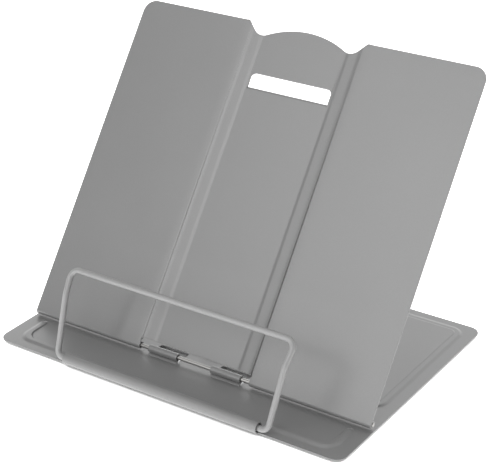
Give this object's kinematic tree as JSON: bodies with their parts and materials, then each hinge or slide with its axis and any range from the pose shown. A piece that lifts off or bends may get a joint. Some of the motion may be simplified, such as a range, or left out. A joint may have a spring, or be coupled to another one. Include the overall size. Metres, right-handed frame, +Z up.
{
  "type": "book stand",
  "caption": "Folding book stand of pressed sheet steel: a base and a tilting back plate with a hand slot on a hinge pin, a wire page holder and a wire prop leg.",
  "frame": {"origin": "on the desk under the middle of the base, at the bottom of the foot pads", "axes": "+Z up, +X to the reader's right, -Y towards the reader"},
  "size_m": [0.28, 0.2024, 0.2039],
  "materials": {
    "sheet_coat": "satin grey powder coat",
    "wire_coat": "satin grey powder coat",
    "pin_steel": "bare drawn steel wire",
    "pad_rubber": "matte black"
  },
  "bodies": {
    "base": {"base_plate": "sheet_coat", "hinge_pin": "pin_steel", "foot_pad_front_left": "pad_rubber", "foot_pad_front_right": "pad_rubber", "foot_pad_rear_left": "pad_rubber", "foot_pad_rear_right": "pad_rubber"},
    "back": {"back_plate": "sheet_coat", "prop_clip_left": "sheet_coat", "prop_clip_right": "sheet_coat"},
    "leg": {"prop_leg": "wire_coat"},
    "holder": {"page_holder": "wire_coat"}
  },
  "joints": [
    {"name": "back_tilt", "type": "hinge", "parent": "base", "child": "back", "pos_m": [0, -0.0551, 0.0067], "axis": [1, 0, 0], "range_deg": [-51.4, 16.1]},
    {"name": "prop_swing", "type": "hinge", "parent": "back", "child": "leg", "pos_m": [0, 0.00547, 0.08627], "axis": [1, 0, 0], "range_deg": [-32.3, 102.9]},
    {"name": "holder_swing", "type": "hinge", "parent": "base", "child": "holder", "pos_m": [0, -0.0972, 0.0059], "axis": [1, 0, 0], "range_deg": [-27, 112]}
  ],
  "couplings": [
    {"joint": "prop_swing", "follows": "back_tilt", "ratio": -2}
  ]
}
